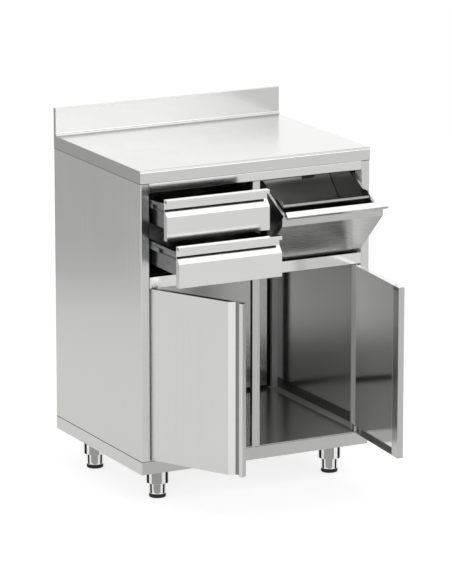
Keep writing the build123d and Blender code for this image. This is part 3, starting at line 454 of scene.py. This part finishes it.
def finish_cuts(node):
    """The planes along which a piece changes its finish, each by a point and a direction."""
    up, right = Vector((0, 0, 1)), Vector((1, 0, 0))
    heights = list(joint_strips.get(node, ()))
    if node in finish_heights:
        heights.append(finish_heights[node])
    planes = [(up * height, up) for height in heights]
    if node == "hopper_body":
        for reach in (hopper_middle - rim_reach, hopper_middle + rim_reach, dark_strip_start):
            planes.append((right * reach, right))
    if "_door_" in node:
        hand = hand_of(node)
        to_rest = closed_place(node).inverted()
        for reach in (grip_ends[hand] + hand * shaded_height, hand * hinge_strip_start):
            planes.append((to_rest @ (right * reach), to_rest.to_3x3() @ right))
    return planes


# Pieces

# Points nearer than this are one, faces within this angle are flat, and edges past this one are sharp
weld_distance = 0.01 * MM
flat_angle = radians(0.5)
sharp_angle = radians(35)


def stand_in(draft, node, ending):
    """Makes the plain piece that replaces a CAD node out of a draft with its modifiers."""
    seen = draft.evaluated_get(bpy.context.evaluated_depsgraph_get())
    finished = bpy.data.objects.new(f"{node}_{ending}", bpy.data.meshes.new_from_object(seen))
    bpy.context.scene.collection.objects.link(finished)
    bpy.data.objects.remove(draft)
    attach(finished, nodes[node]["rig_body"])
    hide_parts(node)


def rounded_copy(node, material, edge_mm, others=()):
    """Stands a CAD node's copy in its place, with every sharp edge of the sheet broken as a real one is.

    Each of the others is a finish and the rule that says which faces have it.
    """
    mesh = nodes[node].data.copy()
    mesh.materials.clear()
    mesh.materials.append(material)
    for other, _ in others:
        mesh.materials.append(other)
    work = bmesh.new()
    work.from_mesh(mesh)
    bmesh.ops.remove_doubles(work, verts=work.verts, dist=weld_distance)
    bmesh.ops.dissolve_limit(work, angle_limit=flat_angle, verts=work.verts, edges=work.edges)
    for point, direction in finish_cuts(node):
        whole = work.verts[:] + work.edges[:] + work.faces[:]
        bmesh.ops.bisect_plane(work, geom=whole, plane_co=point, plane_no=direction)
    for face in work.faces:
        face.smooth = True
        for index, (_, belongs) in enumerate(others):
            if belongs(node, face.calc_center_median(), face.normal):
                face.material_index = index + 1
    work.to_mesh(mesh)
    work.free()
    draft = bpy.data.objects.new(f"draft_{node}", mesh)
    bpy.context.scene.collection.objects.link(draft)
    edge = draft.modifiers.new("broken_edges", "BEVEL")
    edge.width = edge_mm * MM
    edge.segments = 2
    edge.limit_method = "ANGLE"
    edge.angle_limit = sharp_angle
    edge.use_clamp_overlap = True
    evened = draft.modifiers.new("even_shading", "WEIGHTED_NORMAL")
    evened.mode = "FACE_AREA"
    evened.weight = 100
    evened.keep_sharp = True
    stand_in(draft, node, "dressed")


# What each piece is finished in, where it isn't plain inner sheet
finish_list = (
    (worktop_steel, ("worktop", "base_tray")),
    (core_board, ("worktop_core",)),
    (panel_steel, ("side_panel_left", "side_panel_right", "back_panel")),
    (front_steel, ("upper_drawer_front", "lower_drawer_front")),
    # The hopper front in the lighter grey of painted light
    (hopper_painted_light_steel, ("hopper_front",)),
    (door_steel, ("left_door_skin", "right_door_skin")),
    (lining_steel, ("left_door_liner", "right_door_liner")),
    # The mullion in the darker grey of painted shade
    (edge_and_shade_steel, ("mullion",)),
    (frame_steel, ("centre_post",)),
    # The rear posts in the pale grey of painted light
    (lip_painted_light_steel, ("rear_posts",)),
    (rail_steel, ("top_rail_front", "mid_rail")),
    # The knock bar in the dark grey of painted shade
    (bar_painted_shade_steel, ("knock_bar",)),
    (floor_steel, ("compartment_floor",)),
    (liner_steel, ("back_liner",)),
    (hopper_inner_steel, ("hopper_body",)),
    # The drawer bays, the drawer boxes and the bar brackets in the dark grey of painted shade
    (bay_painted_shade_steel, ("partition", "bay_floor", "bay_liner_left", "bay_liner_right", "upper_drawer_box",
                 "lower_drawer_box", "bar_brackets")),
    (turned_steel, ("leg_sleeves", "hinge_pins")),
    (plated_steel, ("leg_bolts", "leg_plates", "runner_channels", "runner_screws",
                    "upper_drawer_runners", "lower_drawer_runners", "upper_slide_middles",
                    "lower_slide_middles", "left_door_strike", "right_door_strike")),
    (catch_plastic, ("door_catches",)),
    (buffer_rubber, ("hopper_buffers",)),
)
# What every piece with one of these words in its name is finished in
finish_words = (("foot_tube", turned_steel), ("foot_pad", foot_plastic), ("bushes", bush_plastic))
finishes = {node: finish for finish, pieces in finish_list for node in pieces}
for node, shown in nodes.items():
    finish = finishes.get(node, inner_steel)
    for word, other in finish_words:
        if word in node:
            finish = other
    finishes[node] = finish
    for slot in shown.material_slots:
        slot.material = finish

# Sheets and posts whose broken edges catch the light, and how wide each edge is in millimetres
broken_edges = {
    "base_tray": 2.0,
    "worktop": 0.5,
    "side_panel_left": 0.5,
    "side_panel_right": 0.5,
    "top_rail_front": 0.4,
    "mid_rail": 0.4,
    "centre_post": 0.4,
    "mullion": 0.4,
    "upper_drawer_front": 0.8,
    "lower_drawer_front": 0.8,
    "hopper_front": 0.8,
    "back_panel": 0.3,
    "left_door_liner": 0.3,
    "right_door_liner": 0.3,
    "left_door_skin": 0.8,
    "right_door_skin": 0.8,
    "upper_drawer_box": 0.4,
    "lower_drawer_box": 0.4,
    "hopper_body": 0.4,
    "bar_brackets": 0.5,
    "knock_bar": 0.6,
    "leg_sleeves": 0.8,
}
broken_edges.update({f"foot_tube_{corner}": 0.5 for corner in corner_names})

# The faces of a piece that have another finish than the rest of it, many of them painted shade or painted
# light. The last rule that holds counts.
# A side panel: painted shade at the foot of its inside and along its top joint, painted light on its bottom
# flange and its post's lip
panel_faces = ((inner_steel, inside_face), (recess_painted_shade_steel, panel_foot), (lip_painted_light_steel, bottom_flange),
               (lip_painted_light_steel, post_lip), (painted_shade_steel, joint_shade))
# A drawer front: painted shade under its grip, painted light on its slope
drawer_faces = ((painted_shade_steel, under_grip), (chamfer_painted_light_steel, chamfer_face))
# A door: painted light on its slope, painted shade in its grip's recess, the darker edge grey on its grip's
# end
door_faces = ((chamfer_painted_light_steel, chamfer_face), (recess_painted_shade_steel, under_grip), (edge_and_shade_steel, door_end))
other_finishes = {
    "worktop": ((edge_and_shade_steel, darker_edge_face),),
    # The base tray: painted shade on its front and along its top joint
    "base_tray": ((edge_and_shade_steel, darker_edge_face), (painted_shade_steel, joint_shade)),
    "side_panel_left": panel_faces,
    "side_panel_right": panel_faces,
    # The back panel's inside, seen through the liner, is painted black as shade
    "back_panel": ((painted_shade_steel, inside_face),),
    # The mullion's sides are painted black as the doors' shade
    "mullion": ((painted_shade_steel, post_side),),
    # The top rail's strip under the worktop is painted shade
    "top_rail_front": ((painted_shade_steel, joint_shade),),
    "upper_drawer_front": drawer_faces,
    "lower_drawer_front": drawer_faces,
    # The hopper front: painted shade under its grip and on its slope
    "hopper_front": ((painted_shade_steel, under_grip), (edge_and_shade_steel, chamfer_face), (front_steel, front_top)),
    # The hopper body: painted shade on its rim and in its depth
    "hopper_body": ((painted_shade_steel, hopper_rim), (painted_shade_steel, hopper_depth)),
    "left_door_skin": door_faces,
    "right_door_skin": door_faces,
    # The door linings: painted light along their hinges
    "left_door_liner": ((lip_painted_light_steel, hinge_strip),),
    "right_door_liner": ((lip_painted_light_steel, hinge_strip),),
}
other_finishes.update({f"foot_tube_{corner}": ((foot_plastic, pad_cup),) for corner in corner_names})
for node, edge_mm in broken_edges.items():
    rounded_copy(node, finishes[node], edge_mm, other_finishes.get(node, ()))


def screw_places(node):
    """Each screw's seat, the way its head looks, and its head's radius and height, from the CAD model.

    The head's rim is what lies further from its axis than most of its radius.
    """
    rim_share = 0.9
    work = bmesh.new()
    work.from_mesh(nodes[node].data)
    bmesh.ops.remove_doubles(work, verts=work.verts, dist=weld_distance)
    left, places = set(work.verts), []
    for start in work.verts:
        if start not in left:
            continue
        left.remove(start)
        queue, island = [start], []
        while queue:
            vert = queue.pop()
            island.append(vert.co.copy())
            for edge in vert.link_edges:
                near = edge.other_vert(vert)
                if near in left:
                    left.remove(near)
                    queue.append(near)
        low = Vector(min(co[i] for co in island) for i in range(3))
        high = Vector(max(co[i] for co in island) for i in range(3))
        middle, radius = (low + high) / 2, (high.z - low.z) / 2
        rim = [co.x for co in island if (co.yz - middle.yz).length > rim_share * radius]
        facing = 1 if sum(rim) / len(rim) > middle.x else -1
        seat = min(rim) if facing > 0 else max(rim)
        places.append(((seat, middle.y, middle.z), (facing, 0, 0), radius, max(rim) - min(rim)))
    work.free()
    return places


def screw_tree(material):
    """The node tree that sets pan-head screws with a cross recess on points, heads along their facing.

    The head is a short drum with a tapering crown. Two crossed bars cut the recess out of the crown.
    """
    tree = bpy.data.node_groups.new("cross_recess_screws", "GeometryNodeTree")
    for name, kind in (("Points", "Geometry"), ("Head Radius", "Float"), ("Head Height", "Float"),
                       ("Recess Width", "Float"), ("Shank Radius", "Float"), ("Shank Length", "Float")):
        tree.interface.new_socket(name=name, in_out="INPUT", socket_type=f"NodeSocket{kind}")
    tree.interface.new_socket(name="Screws", in_out="OUTPUT", socket_type="NodeSocketGeometry")
    sizes = add_node(tree, "NodeGroupInput").outputs
    shares = {}
    for name, size, share in (("drum_height", "Head Height", 0.6), ("drum_middle", "Head Height", 0.3),
                              ("crown_foot", "Head Height", 0.6), ("crown_height", "Head Height", 0.4),
                              ("crown_radius", "Head Radius", 0.7), ("bar_length", "Head Radius", 1.1),
                              ("bar_height", "Head Height", 1.2), ("shank_middle", "Shank Length", -0.45)):
        product = add_node(tree, "ShaderNodeMath", {"operation": "MULTIPLY"}, {0: sizes[size], 1: share})
        shares[name] = product.outputs[0]
    drum = add_node(tree, "GeometryNodeMeshCylinder", {},
                    {"Vertices": 24, "Radius": sizes["Head Radius"], "Depth": shares["drum_height"]})
    crown = add_node(tree, "GeometryNodeMeshCone", {},
                     {"Vertices": 24, "Radius Bottom": sizes["Head Radius"],
                      "Radius Top": shares["crown_radius"], "Depth": shares["crown_height"]})
    shank = add_node(tree, "GeometryNodeMeshCylinder", {},
                     {"Vertices": 16, "Radius": sizes["Shank Radius"], "Depth": sizes["Shank Length"]})
    bars = []
    for across, along in (("X", "Y"), ("Y", "X")):
        extent = add_node(tree, "ShaderNodeCombineXYZ", {},
                          {across: shares["bar_length"], along: sizes["Recess Width"],
                           "Z": shares["bar_height"]})
        bars.append(add_node(tree, "GeometryNodeMeshCube", {}, {"Size": extent.outputs[0]}))
    body = add_node(tree, "GeometryNodeMeshBoolean", {"operation": "UNION", "solver": "EXACT"})
    cut = add_node(tree, "GeometryNodeMeshBoolean", {"operation": "DIFFERENCE", "solver": "EXACT"},
                   {"Mesh 1": body.outputs["Mesh"]})
    for shape, height, target in ((drum, shares["drum_middle"], body),
                                  (crown, shares["crown_foot"], body),
                                  (shank, shares["shank_middle"], body),
                                  (bars[0], sizes["Head Height"], cut),
                                  (bars[1], sizes["Head Height"], cut)):
        lift = add_node(tree, "ShaderNodeCombineXYZ", {}, {"Z": height})
        raised = add_node(tree, "GeometryNodeTransform", {},
                          {"Geometry": shape.outputs["Mesh"], "Translation": lift.outputs[0]})
        tree.links.new(raised.outputs[0], target.inputs["Mesh 2"])
    facing = add_node(tree, "GeometryNodeInputNamedAttribute", {"data_type": "FLOAT_VECTOR"},
                      {"Name": "facing"})
    turned = add_node(tree, "FunctionNodeAlignRotationToVector", {"axis": "Z"},
                      {"Vector": facing.outputs["Attribute"]})
    placed = add_node(tree, "GeometryNodeInstanceOnPoints", {},
                      {"Points": sizes["Points"], "Instance": cut.outputs["Mesh"],
                       "Rotation": turned.outputs["Rotation"]})
    real = add_node(tree, "GeometryNodeRealizeInstances", {}, {"Geometry": placed.outputs["Instances"]})
    finish = add_node(tree, "GeometryNodeSetMaterial", {},
                      {"Geometry": real.outputs["Geometry"], "Material": material})
    add_node(tree, "NodeGroupOutput", {}, {"Screws": finish.outputs["Geometry"]})
    return tree


def recessed_screws(node, material, recess_mm, shank_radius_mm, shank_length_mm):
    """Stands screws with a cross recess where the CAD model has plain ones."""
    places = screw_places(node)
    mesh = bpy.data.meshes.new(f"{node}_places")
    mesh.from_pydata([seat for seat, _, _, _ in places], [], [])
    facing = mesh.attributes.new("facing", "FLOAT_VECTOR", "POINT")
    for spot, (_, direction, _, _) in zip(facing.data, places):
        spot.vector = direction
    draft = bpy.data.objects.new(f"draft_{node}", mesh)
    bpy.context.scene.collection.objects.link(draft)
    tree = screw_tree(material)
    maker = draft.modifiers.new("screws", "NODES")
    maker.node_group = tree
    _, _, head_radius, head_height = places[0]
    values = {"Head Radius": head_radius, "Head Height": head_height, "Recess Width": recess_mm * MM,
              "Shank Radius": shank_radius_mm * MM, "Shank Length": shank_length_mm * MM}
    for item in tree.interface.items_tree:
        if item.in_out == "INPUT" and item.name in values:
            maker[item.identifier] = values[item.name]
    stand_in(draft, node, "recessed")


recessed_screws("runner_screws", plated_steel, recess_mm=0.9, shank_radius_mm=2.0, shank_length_mm=6.0)


# Studio

white = linear("#FFFFFF")
# How far the floor reaches, how far it lies under the feet, and how much brighter than it is lit the
# camera and the steel see it, which makes it white while it still takes the cabinet's shadow
floor_reach = 60.0
floor_drop = 0.5 * MM
floor_lift = 0.71
# How bright the surroundings are as light on the cabinet, and as what the camera and the steel see
light_level = 0.6
seen_level = 1.0
# The level directions across and along the camera's view
view_across = Vector((0.888, -0.460, 0))
view_along = Vector((0.460, 0.888, 0))


def seen_share(tree):
    """A socket that is 1 for what the camera sees, straight, mirrored or through glass, and 0 for light."""
    path = add_node(tree, "ShaderNodeLightPath")
    seen = add_node(tree, "ShaderNodeMath", {"operation": "MAXIMUM"},
                    {0: path.outputs["Is Camera Ray"], 1: path.outputs["Is Glossy Ray"]})
    seen = add_node(tree, "ShaderNodeMath", {"operation": "MAXIMUM"},
                    {0: seen.outputs[0], 1: path.outputs["Is Transmission Ray"]})
    return seen.outputs[0]


def studio_floor():
    """A wide pale floor that runs out to the horizon."""
    mesh = bpy.data.meshes.new("studio_floor")
    corners = [(-floor_reach, -floor_reach, 0), (floor_reach, -floor_reach, 0),
               (floor_reach, floor_reach, 0), (-floor_reach, floor_reach, 0)]
    mesh.from_pydata(corners, [], [(0, 1, 2, 3)])
    floor = bpy.data.objects.new("studio_floor", mesh)
    bpy.context.scene.collection.objects.link(floor)
    material, tree = new_material("white_painted_floor")
    paint = add_node(tree, "ShaderNodeBsdfDiffuse", {}, {"Color": linear("#B8B8B8")})
    lift = add_node(tree, "ShaderNodeMath", {"operation": "MULTIPLY"},
                    {0: seen_share(tree), 1: floor_lift})
    glow = add_node(tree, "ShaderNodeEmission", {}, {"Color": white, "Strength": lift.outputs[0]})
    whole = add_node(tree, "ShaderNodeAddShader", {},
                     {0: paint.outputs["BSDF"], 1: glow.outputs["Emission"]})
    add_node(tree, "ShaderNodeOutputMaterial", {}, {"Surface": whole.outputs["Shader"]})
    mesh.materials.append(material)
    floor.location = (0, 0, -floor_drop)


def studio_world():
    """White surroundings, for the camera and for what the steel mirrors, with a plain level of light."""
    world = bpy.data.worlds.new("white_studio")
    bpy.context.scene.world = world
    world.use_nodes = True
    tree = world.node_tree
    tree.nodes.clear()
    level = add_node(tree, "ShaderNodeMapRange", {},
                     {"Value": seen_share(tree), "To Min": light_level, "To Max": seen_level})
    light = add_node(tree, "ShaderNodeBackground", {},
                     {"Color": white, "Strength": level.outputs["Result"]})
    add_node(tree, "ShaderNodeOutputWorld", {}, {"Surface": light.outputs["Background"]})


def soft_lamp(name, place, aim, width, height, watts):
    """A large soft lamp that faces a point of the cabinet."""
    lamp = bpy.data.lights.new(name, "AREA")
    lamp.shape = "RECTANGLE"
    lamp.size = width
    lamp.size_y = height
    lamp.energy = watts
    holder = bpy.data.objects.new(name, lamp)
    holder.location = place
    holder.rotation_euler = (Vector(aim) - Vector(place)).to_track_quat("-Z", "Y").to_euler()
    holder.visible_camera = False
    bpy.context.scene.collection.objects.link(holder)


def reflector(name, corners, level):
    """A flat sheet of one brightness that only the steel mirrors."""
    mesh = bpy.data.meshes.new(name)
    mesh.from_pydata([tuple(corner) for corner in corners], [], [(0, 1, 2, 3)])
    material, tree = new_material(f"{name}_felt")
    glow = add_node(tree, "ShaderNodeEmission", {}, {"Color": white, "Strength": level})
    add_node(tree, "ShaderNodeOutputMaterial", {}, {"Surface": glow.outputs["Emission"]})
    mesh.materials.append(material)
    card = bpy.data.objects.new(name, mesh)
    card.visible_camera = False
    card.visible_diffuse = False
    card.visible_shadow = False
    bpy.context.scene.collection.objects.link(card)


def upright_card(name, foot, side, height, level):
    """A card that stands upright on an edge, which reaches as far as side each way from its foot."""
    rise = Vector((0, 0, height))
    reflector(name, (foot - side, foot + side, foot + side + rise, foot - side + rise), level)


def grey_card(name, place, aim, width, height, level):
    """An upright card that faces a point of the cabinet and is mirrored in it, for contrast."""
    across = (Vector(aim) - Vector(place)).orthogonal().normalized() * width / 2
    upright_card(name, Vector((*place, 0)), Vector((*across, 0)), height, level)


def floor_cloth(name, left, front, right, back, level):
    """A cloth on the floor beside the cabinet, which only the steel mirrors."""
    thickness = 1 * MM
    reflector(name, ((left, front, thickness), (right, front, thickness),
                     (right, back, thickness), (left, back, thickness)), level)


def leg_foot(corner):
    """The point just above the floor under the middle of a leg."""
    above_floor = 2 * MM
    low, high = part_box(f"foot_tube_{corner}")
    middle = (Vector(low) + Vector(high)) / 2
    return Vector((middle.x, middle.y, above_floor))


def leg_shade_strips(corner, away, forward, width, height, level):
    """Two dark upright strips, one each side of a leg, which draw the dark lines along its tube: painted
    shade of the floor under the cabinet, which only the steel mirrors.
    """
    for side, name in ((-1, "left"), (1, "right")):
        foot = leg_foot(corner) + view_across * side * away - view_along * forward
        upright_card(f"strip_{corner}_{name}", foot, view_along * width / 2, height, level)


def leg_shade_card(corner, forward, aside, width, height, level):
    """A small grey card before a leg, under the cabinet, which greys the middle of its tube: painted shade
    of the floor there, which only the steel mirrors.

    It stands aside to the left by a share of half its width.
    """
    across = view_across * width / 2
    foot = leg_foot(corner) - view_along * forward - across * aside
    upright_card(f"card_{corner}", foot, across, height, level)


studio_floor()
studio_world()
soft_lamp("lamp_above", place=(0.5, -0.8, 4.2), aim=(0, 0, 1.0), width=3.0, height=3.0, watts=24)
soft_lamp("lamp_front", place=(1.9, -4.5, 2.4), aim=(0, 0, 1.0), width=2.0, height=1.6, watts=22)
soft_lamp("lamp_left", place=(-4.2, -4.4, 1.8), aim=(0, 0, 0.5), width=2.0, height=1.6, watts=90)
soft_lamp("lamp_back", place=(2.3, 4.6, 2.3), aim=(0, 0, 1.0), width=4.0, height=2.4, watts=12)
grey_card("card_back_left", place=(-1.7, 2.4), aim=(-0.4, 0.2), width=1.8, height=2.2, level=0.65)
grey_card("card_right", place=(2.6, 0.3), aim=(0.0, 0.2), width=0.7, height=2.2, level=0.15)
grey_card("card_behind_camera", place=(-3.6, -7.0), aim=(0.0, 0.0), width=6.0, height=4.5, level=0.10)
floor_cloth("cloth_right", left=0.76, front=-0.50, right=1.30, back=0.50, level=0.40)
# Painted shade under the cabinet, seen only in the legs' tubes
for corner in corner_names:
    leg_shade_strips(corner, away=0.055, forward=0.012, width=0.030, height=0.10, level=0.02)
    leg_shade_card(corner, forward=0.060, aside=0.2, width=0.105, height=0.090, level=0.38)

# Camera, round to the left of the front and a little above, as for the photograph
degrees_round = 27.396
degrees_down = 13.731
camera = bpy.data.cameras.new("camera")
camera.lens = 253.23
camera.sensor_width = 36.0
camera_holder = bpy.data.objects.new("camera", camera)
camera_holder.location = (-5.7833, -11.0952, 3.6657)
camera_holder.rotation_euler = (radians(90 - degrees_down), 0, radians(-degrees_round))
bpy.context.scene.collection.objects.link(camera_holder)
bpy.context.scene.camera = camera_holder
bpy.context.scene.view_settings.view_transform = "Standard"
